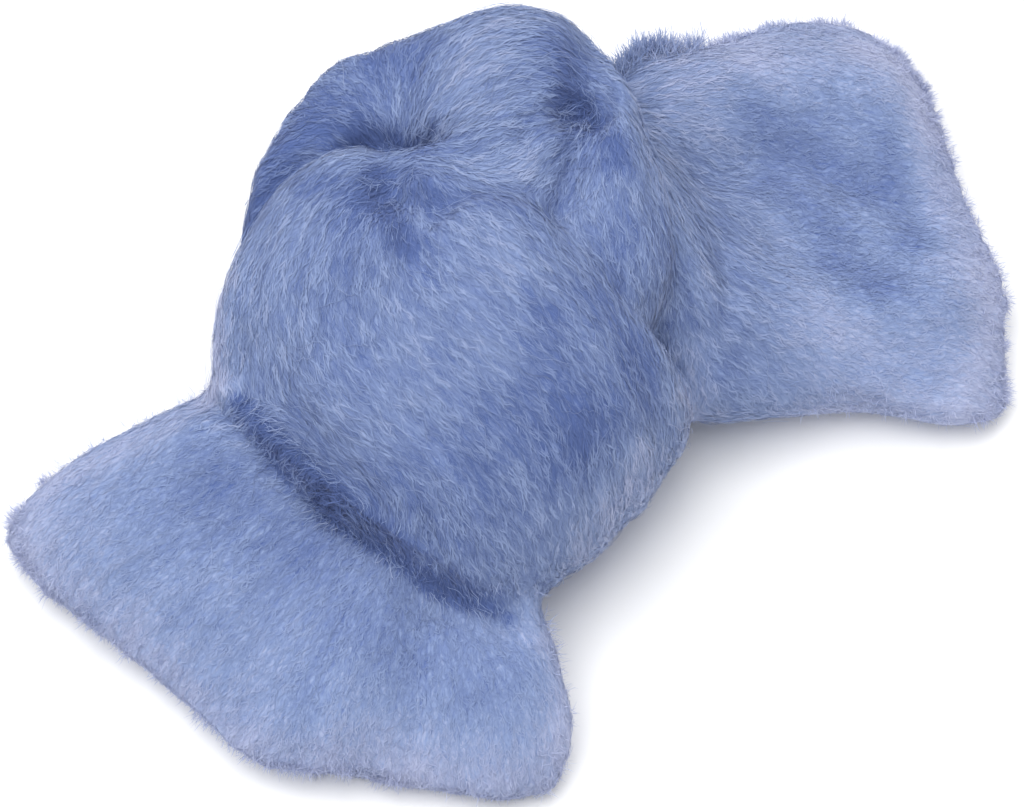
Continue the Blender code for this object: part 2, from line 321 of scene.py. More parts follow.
# %% Press the folds
# name, line seen from above (x, y), height, width to each side, mm
FOLDS = [
    ("arch, left flank", ((-28, 24), (-22, 26), (-15, 25)), -1.5, 4.0),
    ("hollow under the arch", ((-30, 14), (-25, 18), (-19, 20)), -2, 2.5),
    ("pit", ((-17, 19.5), (-14.5, 19)), -3.5, 1.8),
    ("arch meets the band", ((-11, 17.5), (-3, 16.5), (3, 17.5)), 3, 3.0),
    ("crease at the pinch", ((1, 16), (5, 19), (9, 22)), -1, 1.8),
    ("pinch", ((8, 31), (8, 25), (7.7, 21)), -2.5, 2.8),
    ("streak at the turn", ((-14.5, 13), (-14, 6), (-11, 0)), -1.2, 2.6),
    ("turn meets the band", ((-9, 8), (-3, 7), (2, 6)), 1.8, 2.5),
    ("ball, left side", ((-30, -7), (-22, -4), (-15, 0)), 0.8, 4.0),
    ("crease below the band", ((-31, -8), (-23, -19), (-13, -28), (-2, -34)), -3.0, 3.4),
    ("small lobe, left crease", ((9, 20), (6, 14), (4, 7)), -1.2, 1.8),
    ("small lobe, right crease", ((15, 16), (15.5, 8), (17, 3), (19.5, -1)), -1.2, 1.8),
    ("first fan, valley", ((21, 22), (27, 25), (35, 27), (46, 23)), -2.5, 4.0),
    ("first fan, upper pad", ((24, 37), (33, 39), (43, 39)), 3.5, 6.0),
    ("first fan, second valley", ((30, 16), (44, 15)), -1.2, 4.0),
    ("first fan, middle pad", ((27, 8), (37, 6), (49, 9)), 1.8, 4.5),
    ("first fan, long ridge", ((26, 2), (33, 0), (41, -2)), 1.6, 3.0),
    ("second fan, left pad", ((-35, -14), (-46, -24)), 2, 6.0),
    ("second fan, left valley", ((-24, -24), (-30, -40)), -1, 3.5),
    ("second fan, middle pad", ((-16, -30), (-20, -43)), 1.5, 4.5),
    ("second fan, right valley", ((-9, -33), (-12, -44)), -0.8, 3.0),
    ("second fan, right pad", ((-2, -36), (0, -46)), 1.2, 5.0),
]
SKY = Vector((0, 0, 1))
RAY_GAP = 0.3            # how far off the wool a ray to the sky starts, mm
FOLD_SLOPES = (0.1, 0.6)     # how far up a face looks where a fold moves it not at all, and all


def from_above(points):
    """Return the points' places (x, y) as the tables give them, mm."""
    return points[:, :2] - STAND[:2]


def gaps_to_pieces(places, line):
    """Yield each straight piece of a line, as a way (x, y), and the places' gaps to it, mm."""
    for start, end in zip(line, line[1:]):
        start, along = np.array(start, float), np.subtract(end, start)
        share = np.clip((places - start) @ along / (along @ along), 0, 1)
        yield along, np.linalg.norm(places - start - share[:, None] * along, axis=1)


def near_line(places, line, width):
    """Return how near each place is to a line: 1 on it, and fading over the width."""
    gap = np.min([gap for _, gap in gaps_to_pieces(places, line)], axis=0)
    return np.exp(-(gap / width) ** 2)


def body_tree(mesh):
    """Return a search tree of the mesh's faces, in mm."""
    faces = [tuple(face.vertices) for face in mesh.polygons]
    return BVHTree.FromPolygons([tuple(p) for p in mesh_points(mesh)], faces)


def open_to_sky(tree, points, normals):
    """Return 1 for each point with nothing above it, and 0 for the others."""
    starts = points + normals * RAY_GAP
    return np.array([tree.ray_cast(start, SKY)[0] is None for start in starts], float)


def press_folds(body):
    """Move the body's points up or down where a fold passes."""
    points, normals = mesh_points(body.data), mesh_normals(body.data)
    facing = np.interp(normals[:, 2], FOLD_SLOPES, (0, 1))
    facing *= open_to_sky(body_tree(body.data), points, normals)
    places = from_above(points)
    for _, line, height, width in FOLDS:
        points[:, 2] += height * near_line(places, line, width) * facing
    set_points(body.data, points)


press_folds(body)

# %% [markdown]
# Which way the fibres run. Most of what the eye sees of a roving is this direction. Along the
# hidden sides it follows the rings. On top the knot has pulled the fibres into fans: they spread
# from the pit where the band turns, gather again at the pinch, and splay out to the torn ends.
# No formula gives that, so it is groomed as one grooms hair, with guide lines: each row is a
# line seen from above that the fibres follow, and the direction between the lines is blended.

# %% The combing lines
# name, the line (x, y) seen from above, mm
COMBING = [
    ("band, far left", ((-15, 12), (-22, 10), (-28, 5), (-32, -3), (-31, -9))),
    ("band, left", ((-15, 10), (-20, 6), (-24, 0), (-25, -7), (-22, -14), (-15, -20), (-8, -26))),
    ("band, middle", ((-13, 8), (-17, 0), (-17, -6), (-13, -14), (-5, -20), (1, -27))),
    ("band, right", ((-12, 8), (-11, 0), (-5, -7), (3, -13), (8, -20), (8, -27))),
    ("band, upper", ((-10, 10), (-4, 4), (4, -2), (11, -9), (15, -16))),
    ("band, top edge", ((-8, 13), (0, 7), (6, 3), (13, -3), (17, -10))),
    ("arch, foot", ((-15, 20), (-21, 21), (-28, 20))),
    ("arch, left", ((-15, 21), (-19, 25), (-23, 29))),
    ("arch, upper left", ((-13, 21), (-14, 26), (-15, 33))),
    ("arch, middle", ((-12, 20), (-9, 26), (-7, 33))),
    ("arch, bow", ((-11, 19), (-6, 24), (1, 27), (7, 27), (10, 22))),
    ("arch, low bow", ((-9, 18), (-2, 20), (4, 23), (8, 22))),
    ("arch, over the top", ((-10, 31), (0, 33), (8, 31), (12, 26))),
    ("wedge, upper", ((-8, 14), (0, 16), (5, 19), (9, 21))),
    ("wedge, middle", ((-2, 9), (3, 13), (7, 18))),
    ("wedge, lower", ((3, 4), (5, 11), (8, 19))),
    ("small lobe, left", ((8, 20), (8, 12), (9, 3))),
    ("small lobe, middle", ((10, 20), (13, 12), (14, 2), (13, -4))),
    ("small lobe, right", ((11, 22), (16, 15), (18, 6), (16, -3))),
    ("first fan, top", ((12, 33), (20, 36), (32, 38), (45, 38))),
    ("first fan, upper", ((13, 26), (20, 27), (32, 28), (48, 27))),
    ("first fan, middle", ((14, 21), (20, 21), (28, 19), (38, 20), (52, 20))),
    ("first fan, inside", ((20, 16), (24, 12), (32, 11), (42, 12), (56, 14))),
    ("first fan, lower", ((16, 16), (18, 11), (22, 5), (28, 3), (40, 2), (55, 3))),
    ("first fan, bottom", ((17, 7), (20, 5), (26, 2), (33, -1), (41, -3), (50, -3))),
    ("second fan, upper left", ((-30, -12), (-40, -14), (-50, -18), (-58, -22))),
    ("second fan, left", ((-28, -17), (-40, -23), (-52, -29))),
    ("second fan, lower left", ((-24, -21), (-34, -29), (-43, -37))),
    ("second fan, middle left", ((-16, -26), (-24, -35), (-32, -44))),
    ("second fan, middle", ((-13, -28), (-16, -37), (-20, -49))),
    ("second fan, middle right", ((-10, -30), (-11, -38), (-12, -50))),
    ("second fan, right", ((-8, -31), (-5, -38), (-4, -50))),
    ("second fan, far right", ((-5, -31), (1, -37), (5, -44), (5, -50))),
]
GUIDE_REACH = 4.5        # how far a line holds the fibres beside it, mm
GUIDE_HOLD = 0.08        # the strength of guiding at which a line and the rings count the same
GUIDE_SLOPES = (-0.05, 0.2)  # how far up a face looks where the lines hold nothing, and all
LEAST_UP = 0.12          # the steepest a guide line climbs: the upward share of the face's normal


def ring_directions(rings):
    """Return the rings' points, and at each the way along the sliver and the distance."""
    along = unit(np.gradient(rings, axis=0))
    steps = np.linalg.norm(np.diff(rings.mean(axis=1), axis=0), axis=1)
    distance = np.concatenate([[0], np.cumsum(steps)])
    return rings.reshape(-1, 3), along.reshape(-1, 3), np.repeat(distance, rings.shape[1])


def nearest_ring_points(points, ring_points):
    """Return, for each place, the number of the nearest ring point."""
    tree = KDTree(len(ring_points))
    for i, point in enumerate(ring_points):
        tree.insert(point, i)
    tree.balance()
    return np.array([tree.find(place)[1] for place in points])


def guided_direction(places):
    """Return the guide lines' direction at places seen from above, and its strength."""
    total = np.zeros((len(places), 2))
    for _, line in COMBING:
        for along, gap in gaps_to_pieces(places, line):
            turn = 2 * math.atan2(along[1], along[0])
            pull = np.exp(-(gap / GUIDE_REACH) ** 2)
            total += pull[:, None] * (math.cos(turn), math.sin(turn))
    turn = np.arctan2(total[:, 1], total[:, 0]) / 2
    return np.stack([np.cos(turn), np.sin(turn)], axis=1), np.linalg.norm(total, axis=1)


def combing_ways(points, normals, ring_way, sky):
    """Return the way the fibres run at each point, along the surface."""
    flat, strength = guided_direction(from_above(points))
    climb = -(flat * normals[:, :2]).sum(axis=1) / np.maximum(normals[:, 2], LEAST_UP)
    guided = unit(np.column_stack([flat, climb]))
    facing = np.interp(normals[:, 2], GUIDE_SLOPES, (0, 1))
    share = (sky * facing * strength / (strength + GUIDE_HOLD))[:, None]
    along = np.where((ring_way * guided).sum(axis=1)[:, None] < 0, -ring_way, ring_way)
    way = guided * share + along * (1 - share)
    return unit(way - normals * (way * normals).sum(axis=1)[:, None])


ring_points, ring_ways, ring_distance = ring_directions(rings)
body_points, body_normals = mesh_points(body.data), mesh_normals(body.data)
near = nearest_ring_points(body_points, ring_points)
body_sky = open_to_sky(body_tree(body.data), body_points, body_normals)
body_ways = combing_ways(body_points, body_normals, ring_ways[near], body_sky)
body_along = ring_distance[near]
print(f"combing: {len(COMBING)} lines, {body_sky.mean():.0%} of the body is open to the sky")

# %% [markdown]
# A path over the wool. Both the grooves and the fibres need to walk over the body along the
# combing, so this comes first. A step goes a little ahead, and then settles on the nearest
# point of the surface. Where the surface has turned too far away from where the fibre is
# rooted, as at a torn end, the fibre leaves it and goes straight on. That makes the fringe.

# %% Walking over the surface
NEVER_LEAVE = -2.0       # a cosine that no turn of the surface falls below
SEED = 41
random = np.random.default_rng(SEED)


class Surface:
    """The body as a fibre sees it: each face's place, way up and combing."""

    def __init__(self, mesh, ways):
        mesh.calc_loop_triangles()
        self.corners = read_numbers(mesh.loop_triangles, "vertices", 3).reshape(-1, 3)
        self.points = mesh_points(mesh)
        a, b, c = (self.points[self.corners[:, i]] for i in range(3))
        self.area = np.linalg.norm(np.cross(b - a, c - a), axis=1) / 2
        self.middle = (a + b + c) / 3
        self.tree = BVHTree.FromPolygons(self.points.tolist(), self.corners.tolist())
        self.normal = unit(self.on_faces(mesh_normals(mesh)))
        first = ways[self.corners[:, :1]]
        signs = np.sign((ways[self.corners] * first).sum(axis=2, keepdims=True))
        self.way = unit((ways[self.corners] * signs).mean(axis=1))

    def on_faces(self, values):
        """Return values given for the points, averaged on each face."""
        return values[self.corners].mean(axis=1)

    def settle(self, places):
        """Return the nearest surface points of the places, and their faces."""
        hits = [self.tree.find_nearest(place) for place in places.tolist()]
        return np.array([hit[0] for hit in hits]), np.array([hit[2] for hit in hits])

    def scatter(self, count, weight):
        """Return places spread at random over the faces by the weight, and their faces."""
        share = self.area * weight
        face = random.choice(len(share), count, p=share / share.sum())
        u, v = random.random((2, count, 1))
        turned = u + v > 1
        u, v = np.where(turned, 1 - u, u), np.where(turned, 1 - v, v)
        a, b, c = (self.points[self.corners[face, i]] for i in range(3))
        return a + (b - a) * u + (c - a) * v, face


def facing_way(ways, towards):
    """Return the ways, each turned round where it points against the other."""
    return np.where((ways * towards).sum(axis=1)[:, None] < 0, -ways, ways)


def turned(vectors, axes, angles):
    """Return the vectors turned about the axes, which are at right angles to them."""
    angles = angles[:, None]
    return vectors * np.cos(angles) + np.cross(axes, vectors) * np.sin(angles)


def walk(surface, places, faces, heading, steps, step, drift=0.0, curl=0.0, leave=NEVER_LEAVE):
    """Walk over the surface from the places, first the way of the heading, then as combed.

    Leave is the cosine of the surface's turn, since the root, at which a path leaves it.
    Return the points, normals, ways and faces along each path.
    """
    count = len(places)
    turn = random.normal(0, drift, count)
    free = np.zeros(count, bool)
    root, normal, combed = surface.normal[faces], surface.normal[faces], heading
    way = turned(combed, normal, turn)
    rows = [(places, normal, way, faces)]
    for _ in range(steps):
        ahead = places + way * step[:, None]
        settled, hit = surface.settle(ahead)
        free |= (surface.normal[hit] * root).sum(axis=1) < leave
        turn = turn + random.normal(0, curl, count)
        held = ~free[:, None]
        combed = np.where(held, facing_way(surface.way[hit], combed), combed)
        places = np.where(held, settled, ahead)
        normal = np.where(held, surface.normal[hit], normal)
        way = np.where(held, turned(combed, normal, turn), way)
        faces = np.where(free, faces, hit)
        rows.append((places, normal, way, faces))
    return [np.stack(column, axis=1) for column in zip(*rows)]


surface = Surface(body.data, body_ways)
print(f"surface: {len(surface.area)} triangles, {surface.area.sum() / 100:.0f} square cm")

# %% [markdown]
# Combed grooves. The top of a roving is never even: it lies in soft locks a few millimetres
# across, and in finer streaks within them. Noise alone has no direction, so each point takes
# the mean of the noise along its own path. That smears the noise along the combing, round
# every bend. It sinks and raises the body a little, and is kept as "streak" for the dye.

# %% Comb the grooves
STREAK_STEPS = 7         # the most steps that a path takes each way
STREAK_STEP = 1.3        # mm
# name, grain of the noise mm, steps of the path that are averaged, depth mm
GROOVES = [
    ("locks", 3.0, 7, 0.35),
    ("streaks", 1.3, 5, 0.22),
]
BODY_INSET = 0.25        # how far the body stays below the fibres laid on it, mm
FAN_LENGTH = (22.0, 34.0)    # how far from an end the wool counts as fanned out: all, none; mm
FAN_GROOVES = 0.5        # the grooves' depth on the fans, beside that on the knot
GROOVE_LIMIT = 2.0       # how many times its usual depth a groove may reach
INSET_SLOPES = (-0.6, -0.2)  # how far up a face looks where it stays, and where it is inset
# Whole numbers that mix a cell's place in the noise into one that looks random.
PLACE_MIXERS = (73856093, 19349663, 83492791)
LAST_MIXER = 1274126177
SEED_MIXER = 97531


def soft_noise(places, seed):
    """Return smooth noise from -1 to 1 at places in three dimensions."""
    low = np.floor(places).astype(np.int64)
    part = places - low
    part = part * part * (3 - 2 * part)
    total = np.zeros(places.shape[:-1])
    for corner in np.ndindex(2, 2, 2):
        cell = low + corner
        mixed = np.bitwise_xor.reduce(cell * PLACE_MIXERS, axis=-1)
        mixed = (mixed ^ (mixed >> 13)) * LAST_MIXER + seed * SEED_MIXER
        value = ((mixed ^ (mixed >> 16)) & 0xFFFF) / 0x7FFF - 1
        weight = np.where(corner, part, 1 - part).prod(axis=-1)
        total += value * weight
    return total


def first_face_of_points(surface):
    """Return, for each point of the body, the number of a face that it belongs to."""
    face = np.zeros(len(surface.points), np.int64)
    face[surface.corners.ravel()] = np.repeat(np.arange(len(surface.corners)), 3)
    return face


def combed_noise(surface):
    """Return the grooves' noise at each point, averaged along the combing, one for each row."""
    faces = first_face_of_points(surface)
    count = len(surface.points)
    step = np.full(count, STREAK_STEP)
    paths = [walk(surface, surface.points, faces, surface.way[faces] * sign, STREAK_STEPS, step)[0]
             for sign in (1.0, -1.0)]
    found = []
    for number, (_, grain, reach, _) in enumerate(GROOVES):
        trail = np.concatenate([paths[0][:, :reach + 1], paths[1][:, 1:reach + 1]], axis=1)
        noise = soft_noise(trail / grain, number).mean(axis=1)
        found.append(noise / noise.std())
    return found


def end_gap(along):
    """Return how far each place along the sliver is from the nearer torn end, mm."""
    return np.minimum(along, along.max() - along)


def comb_grooves(body, noises):
    """Raise and sink the body's points by the combed noise, and keep the table side flat."""
    points, normals = mesh_points(body.data), mesh_normals(body.data)
    fullness = np.interp(end_gap(body_along), FAN_LENGTH, (FAN_GROOVES, 1))
    for noise, (_, _, _, depth) in zip(noises, GROOVES):
        noise = np.clip(noise, -GROOVE_LIMIT, GROOVE_LIMIT)
        points += normals * (fullness * noise * depth / 2)[:, None]
    above_table = np.interp(normals[:, 2], INSET_SLOPES, (0, 1))
    points -= normals * (above_table * BODY_INSET)[:, None]
    points[:, 2] = np.maximum(points[:, 2], 0)
    set_points(body.data, points)
    body.data.shade_smooth()


noises = combed_noise(surface)
comb_grooves(body, noises)
low, high = mesh_points(body.data).min(axis=0), mesh_points(body.data).max(axis=0)
print("body, mm:", np.round(low, 1), np.round(high, 1))

# %% [markdown]
# Patches of paler and deeper blue. Part of this is the dye, which a bath doesn't carry into the
# inside of a loop as it does over the outside. Much of it is painted light and shade: painted
# shade, deep blue, in the creases, the pit, where the band is pinched, and on the flanks of the
# arch and the sides of the ball that face away from the light; painted highlights, paler, over
# the crowns and on the rims that catch the light. Each row is a line seen from above that such a
# patch follows, how much paler it is, below zero how much deeper, and how far it spreads.

# %% The patches of the dye and of painted light and shade
# name, line seen from above (x, y), how much paler, width to each side mm
DYE_LIGHT_AND_SHADE_PATCHES = [
    ("arch, left flank", ((-30, 12), (-28, 21), (-24, 24), (-19, 22)), -0.38, 4.0),
    ("pit", ((-17, 20), (-13, 19)), -0.30, 2.2),
    ("arch, column", ((-4, 30), (-4, 22), (-2, 14)), 0.14, 4.0),
    ("arch, upper left crown", ((-16, 30), (-12, 29)), -0.30, 4.0),
    ("arch, back rim", ((0, 33), (4, 32)), 0.20, 2.5),
    ("arch, right flank", ((4, 30), (6, 25), (7, 21)), -0.40, 3.2),
    ("pinch", ((6.5, 22), (7.5, 20.5)), -0.42, 2.0),
    ("pinch, crease", ((7, 20), (5, 14), (4, 10)), -0.20, 1.3),
    ("streak at the turn", ((-16, 11), (-15, 6), (-12, 1)), -0.45, 1.7),
    ("right of the pit", ((-12, 15), (-9, 9)), -0.15, 2.6),
    # The ball's rims are painted paler: painted light.
    ("ball, left rim", ((-34, 1), (-35, -3), (-34, -8)), 0.60, 2.2),
    ("ball, right rim", ((15, -16), (13, -19), (9, -24), (6, -28)), 0.22, 1.8),
    ("ball, middle", ((-12, -1), (-8, -6)), -0.15, 5.0),
    ("ball, left side", ((-19, -1), (-20, -8), (-19, -13)), -0.12, 5.5),
    ("band, upper left", ((-22, 9), (-20, 8), (-18, 5)), -0.28, 3.0),
    ("band, upper right", ((-13, 10), (-9, 7), (-4, 7), (1, 7)), -0.24, 3.0),
    ("ball, far right", ((13, -9), (12, -14), (4, -22)), -0.28, 3.0),
    ("band, right side", ((3, -8), (5, -16), (-2, -18)), -0.30, 4.5),
    ("band, lower side", ((-13, -20), (-6, -23), (0, -24)), -0.10, 3.5),
    ("band, lowest side", ((-15, -23), (-9, -26), (-2, -29)), -0.12, 2.5),
    # These two rows paint the shade in the crease below the band.
    ("crease below the band, left", ((-31, -11), (-26, -16), (-20, -22)), -0.70, 0.9),
    ("crease below the band, right", ((-20, -22), (-11, -29), (-1, -33)), -0.55, 0.7),
    ("second fan, beside the crease", ((-36, -15), (-29, -20), (-22, -26)), -0.15, 3.0),
    ("second fan, middle", ((-39, -20), (-31, -23), (-22, -29), (-11, -38), (-4, -40)), -0.30, 7.5),
    ("second fan, lower left", ((-35, -34), (-29, -41), (-24, -43)), -0.20, 4.5),
    ("second fan, top edge", ((-52, -14), (-39, -11)), 0.20, 2.0),
    ("second fan, right side", ((3, -35), (5, -40), (5, -46)), 0.22, 1.8),
    ("small lobe, top right", ((11, 16), (11, 14)), -0.50, 2.0),
    ("wedge", ((-9, 15), (2, 16), (5, 17)), -0.15, 2.5),
    ("small lobe, lower part", ((11, 4), (11, 0), (9, -4)), -0.18, 3.0),
    ("beside the small lobe", ((16, 9), (17, 2), (21, -3)), -0.25, 2.4),
    ("first fan, valley", ((29, 31), (34, 29), (41, 25)), -0.42, 3.5),
    ("first fan, inside the rim", ((44, 30), (45, 26), (46, 18)), -0.34, 2.8),
    ("first fan, middle", ((31, 23), (36, 17), (37, 13), (41, 10)), -0.36, 4.2),
    ("first fan, outer part", ((44, 15), (46, 8), (47, 2)), -0.12, 5.0),
    ("first fan, top right", ((36, 34), (42, 33)), -0.20, 3.0),
    ("first fan, top", ((20, 31), (19, 38), (26, 40)), 0.24, 5.0),
    ("first fan, top corner", ((41, 44), (46, 42), (49, 36)), 0.35, 3.0),
    ("first fan, right side", ((55, 15), (55, 6), (50, -3)), 0.12, 2.5),
    ("first neck", ((16, 24), (16, 11), (16, 2)), 0.12, 3.0),
    ("first fan, near the knot", ((20, -2), (21, -7), (19, -10)), 0.32, 2.5),
]


def dye_light_and_shade_patches(points):
    """Return how much paler each point is painted, for the dye and for painted light and shade."""
    paler = np.zeros(len(points))
    for _, line, amount, width in DYE_LIGHT_AND_SHADE_PATCHES:
        paler += amount * near_line(from_above(points), line, width)
    return paler


# %% [markdown]
# How open each point lies, for the painted shade in the creases. Wool looks deeper and bluer inside
# a crease because the light there has passed many fibres, and here that shade is painted into the
# colour. A few rays from each point, spread over the half of space that it faces, tell how much of
# the sky it sees. The share is kept as an attribute, "open", which the dye group reads to paint the
# closed places deeper. It is stored on the piece and not taken from a light, so the painted shade
# stays the same from every side.

# %% Measure the creases
OPEN_RAYS = 20
OPEN_REACH = 14.0        # how far a ray looks for other wool, mm
OPEN_GAP = 0.4           # how far off the wool the rays start, mm
ANY_WAY = (0.31, 0.87, 0.38)     # a way that no face of the wool faces exactly
OPEN_SHARES = (0.08, 0.55)   # the shares of free rays that count as closed and as open
STREAK_SHARES = (0.2, 0.12)  # how much the locks and the streaks count in the dye
FAN_FELTING = 0.6            # how much shorter the strokes are on a fan, where fibres tangle
# Thin wool on the fans is painted paler: a painted glow, as of light shining through it.
THIN_HEIGHT = (3.0, 9.5)     # heights of a fan's upper side at which it is thin and full, mm
FAN_THIN = 0.4               # how thin a full fan still is beside the knot


def ray_directions(count):
    """Return directions spread evenly over the upper half of space."""
    number = np.arange(count) + 0.5
    height = np.sqrt(number / count)
    turn = number * math.pi * (3 - math.sqrt(5))
    flat = np.sqrt(1 - height ** 2)
    return np.stack([flat * np.cos(turn), flat * np.sin(turn), height], axis=1)


def openness(tree, points, normals):
    """Return for each point the share of rays that leave the wool, from 0 to 1."""
    sideways = unit(np.cross(normals, ANY_WAY))
    other = np.cross(normals, sideways)
    starts = points + normals * OPEN_GAP
    free = np.zeros(len(points))
    for x, y, z in ray_directions(OPEN_RAYS):
        ways = sideways * x + other * y + normals * z
        for i, (start, way) in enumerate(zip(starts, ways)):
            free[i] += tree.ray_cast(start, way, OPEN_REACH)[0] is None
    return free / OPEN_RAYS


def add_attribute(mesh, name, values):
    """Store a number for each point of the mesh."""
    attribute = mesh.attributes.new(name, "FLOAT", "POINT")
    attribute.data.foreach_set("value", np.asarray(values, np.float32))


def add_way(mesh, ways):
    """Store the combing at each face's corners, all of a face pointing the same way."""
    corners = read_numbers(mesh.loops, "vertex_index")
    starts = read_numbers(mesh.polygons, "loop_start")
    first = np.repeat(ways[corners[starts]], read_numbers(mesh.polygons, "loop_total"), axis=0)
    attribute = mesh.attributes.new("way", "FLOAT_VECTOR", "CORNER")
    attribute.data.foreach_set("vector", facing_way(ways[corners], first).astype(np.float32).ravel())


surface = Surface(body.data, body_ways)
body_open = openness(surface.tree, surface.points, mesh_normals(body.data))
body_open = np.interp(body_open, OPEN_SHARES, (0, 1))
body_streak = np.clip(0.5 + STREAK_SHARES[0] * noises[0] + STREAK_SHARES[1] * noises[1], 0, 1)
fan_share = np.interp(end_gap(body_along), FAN_LENGTH, (1, 0))
body_thin = fan_share * np.interp(surface.points[:, 2], THIN_HEIGHT, (1, FAN_THIN))
body_patch = dye_light_and_shade_patches(surface.points)
# open, thin and patch paint light and shade into the colour; streak is the dye's own
numbers = {"open": body_open, "streak": body_streak, "thin": body_thin, "patch": body_patch}
for name, values in numbers.items():
    add_attribute(body.data, name, values)
add_way(body.data, body_ways * (1 - FAN_FELTING * fan_share)[:, None])
face_fan = surface.on_faces(fan_share)
face_numbers = {name: surface.on_faces(values) for name, values in numbers.items()}
face_along = surface.on_faces(body_along)
print(f"openness: {body_open.min():.2f} to {body_open.max():.2f}")

# %% [markdown]
# A fibre's own shape. A fibre could be a hair particle or a curve, but then the exported model
# would lose it, so each one is a thin strip of mesh, joined with thousands of others in one
# object. Wool is crimped: a fibre waves from side to side every few millimetres. It lies at its
# own height in the top layer, with its tips a little free. A flat strip of two sides is enough
# for most, and only the longest loose hairs have three. Both ends run out to a point.

# %% From paths to fibres
SWINGS = (0.4, 1.0)      # the least and the most of its kind's swing that a fibre takes
PERIODS = (0.7, 1.4)     # the same for the length of a wave
BOB_SHARE = 0.5          # how much a fibre waves up and down, beside its swing
BOB_PACE = 0.83          # how much slower it does so
BOB_START = 1.7          # how far apart the two waves start, radians
TIP_LENGTH = 0.25        # the share of a fibre over which it runs out to a point
TIP_WIDTH = 0.25         # its least width there
WAVE_SEED, BUNDLE_SEED, CLUMP_SEED = 3, 5, 7


def crimped(path, normals, ways, kind, length, bundle, side, fullness):
    """Return the paths waved from side to side and lifted to their own heights, mm.

    One wave is a fibre's own. The other is a slow wander that all its neighbours share.
    """
    count, points = path.shape[:2]
    share = np.linspace(0, 1, points)[None, :]
    sideways = unit(np.cross(normals, ways))
    swing = kind["swing"] * random.uniform(*SWINGS, (count, 1))
    period = kind["period"] * random.uniform(*PERIODS, (count, 1))
    phase = random.uniform(0, 2 * math.pi, (count, 1))
    place = 2 * math.pi * share * length[:, None] / period + phase
    shared = kind["wander"] * soft_noise(path / WANDER_GRAIN, WAVE_SEED) * side
    over = swing * np.sin(place) + shared
    bob = swing * BOB_SHARE * np.sin(place * BOB_PACE + BOB_START)
    low, high = kind["height"]
    rise = random.random((count, 1)) ** 2
    rise += (bundle[:, None] - rise) * BUNDLE_SHARE
    above = low + (high - low) * rise * fullness[:, None]
    tips = kind["tips"] * random.random((count, 2)) ** 2
    above = above + tips[:, :1] * (1 - share) ** 3 + tips[:, 1:] * share ** 3 + bob
    return path + sideways * over[:, :, None] + normals * above[:, :, None]


def fibre_corners(path, normals, ways, width, kind):
    """Return the corners of each fibre: a first tip, the cuts between, and a last tip."""
    count, points = path.shape[:2]
    roll = random.normal(0, kind["roll"], (count, 1, 1))
    sideways = unit(np.cross(normals, ways))
    flat = sideways * np.cos(roll) + normals * np.sin(roll)
    edge = normals * np.cos(roll) - sideways * np.sin(roll)
    share = np.linspace(0, 1, points)[None, :, None]
    taper = np.minimum(1, np.minimum(share, 1 - share) / TIP_LENGTH + TIP_WIDTH)
    radius = width[:, None, None] / 2 * taper
    cuts = []
    for number in range(kind["sides"]):
        angle = 2 * math.pi * number / kind["sides"]
        cuts.append(path + radius * (flat * math.cos(angle) + edge * math.sin(angle)))
    cuts = np.stack(cuts, axis=2)[:, 1:-1].reshape(count, -1, 3)
    return np.concatenate([path[:, :1], cuts, path[:, -1:]], axis=1)


def fibre_faces(points, sides):
    """Return the faces of one fibre, as corner numbers: triangles, then squares."""
    last = 1 + (points - 2) * sides
    pairs = [(i, (i + 1) % sides) for i in range(sides if sides > 2 else 1)]
    triangles, squares = [], []
    for a, b in pairs:
        triangles.append((0, 1 + b, 1 + a))
        triangles.append((last, last - sides + a, last - sides + b))
        for ring in range(points - 3):
            low, high = 1 + ring * sides, 1 + (ring + 1) * sides
            squares.append((low + a, low + b, high + b, high + a))
    return np.array(triangles), np.array(squares)


def fibre_mesh(name, corners, points, sides):
    """Make one mesh of all the fibres, straight from arrays."""
    count, each = corners.shape[:2]
    first = (np.arange(count) * each)[:, None, None]
    triangles, squares = fibre_faces(points, sides)
    triangles = (first + triangles[None]).reshape(-1, 3)
    squares = (first + squares[None]).reshape(-1, 4)
    mesh = bpy.data.meshes.new(name)
    mesh.vertices.add(count * each)
    mesh.loops.add(triangles.size + squares.size)
    mesh.polygons.add(len(triangles) + len(squares))
    loops = np.concatenate([triangles.ravel(), squares.ravel()])
    starts = np.concatenate([np.arange(len(triangles)) * 3,
                             triangles.size + np.arange(len(squares)) * 4])
    mesh.loops.foreach_set("vertex_index", loops.astype(np.int32))
    mesh.polygons.foreach_set("loop_start", starts.astype(np.int32))
    set_points(mesh, corners.reshape(-1, 3))
    mesh.update(calc_edges=True)
    mesh.shade_smooth()
    return mesh


FLOOR_GAP = 0.05         # the lowest that a fibre comes to the table, mm
KNOT_MIDDLE = np.array((-6.0, 6.0, 10.0))    # fibres grow towards it or away from it, mm
FREE_SPREAD = 0.45       # how far free fibres point apart
CLUMP_GRAIN = 1.3        # size of the clumps that free fibres stand in, mm
CLUMP_LENGTHS = (0.3, 2.0)   # how much shorter or longer they make the fibres at most
CLUMP_CONTRAST = 2.0     # how sharply the clumps stand apart
CLUMP_LEAST = 0.05       # how many fibres stand between them
BUNDLE_GRAIN = 0.45      # size across of the bundles that share a shade and a height, mm
BUNDLE_SHARE = 0.8       # how much of its shade and height a fibre shares with its bundle
BUNDLE_SPREAD = 0.33     # how far apart the bundles are in both
WANDER_GRAIN = 0.7       # size of the slow waves that neighbours share, mm
FAN_TANGLE = 0.9         # how much more the fibres cross each other on the fans
FAN_SHORTNESS = 0.4      # how much shorter they are there
FAN_EVENNESS = 0.6       # how much closer together their shades are there
FAN_FLATNESS = 0.4       # how much less they stand above each other there
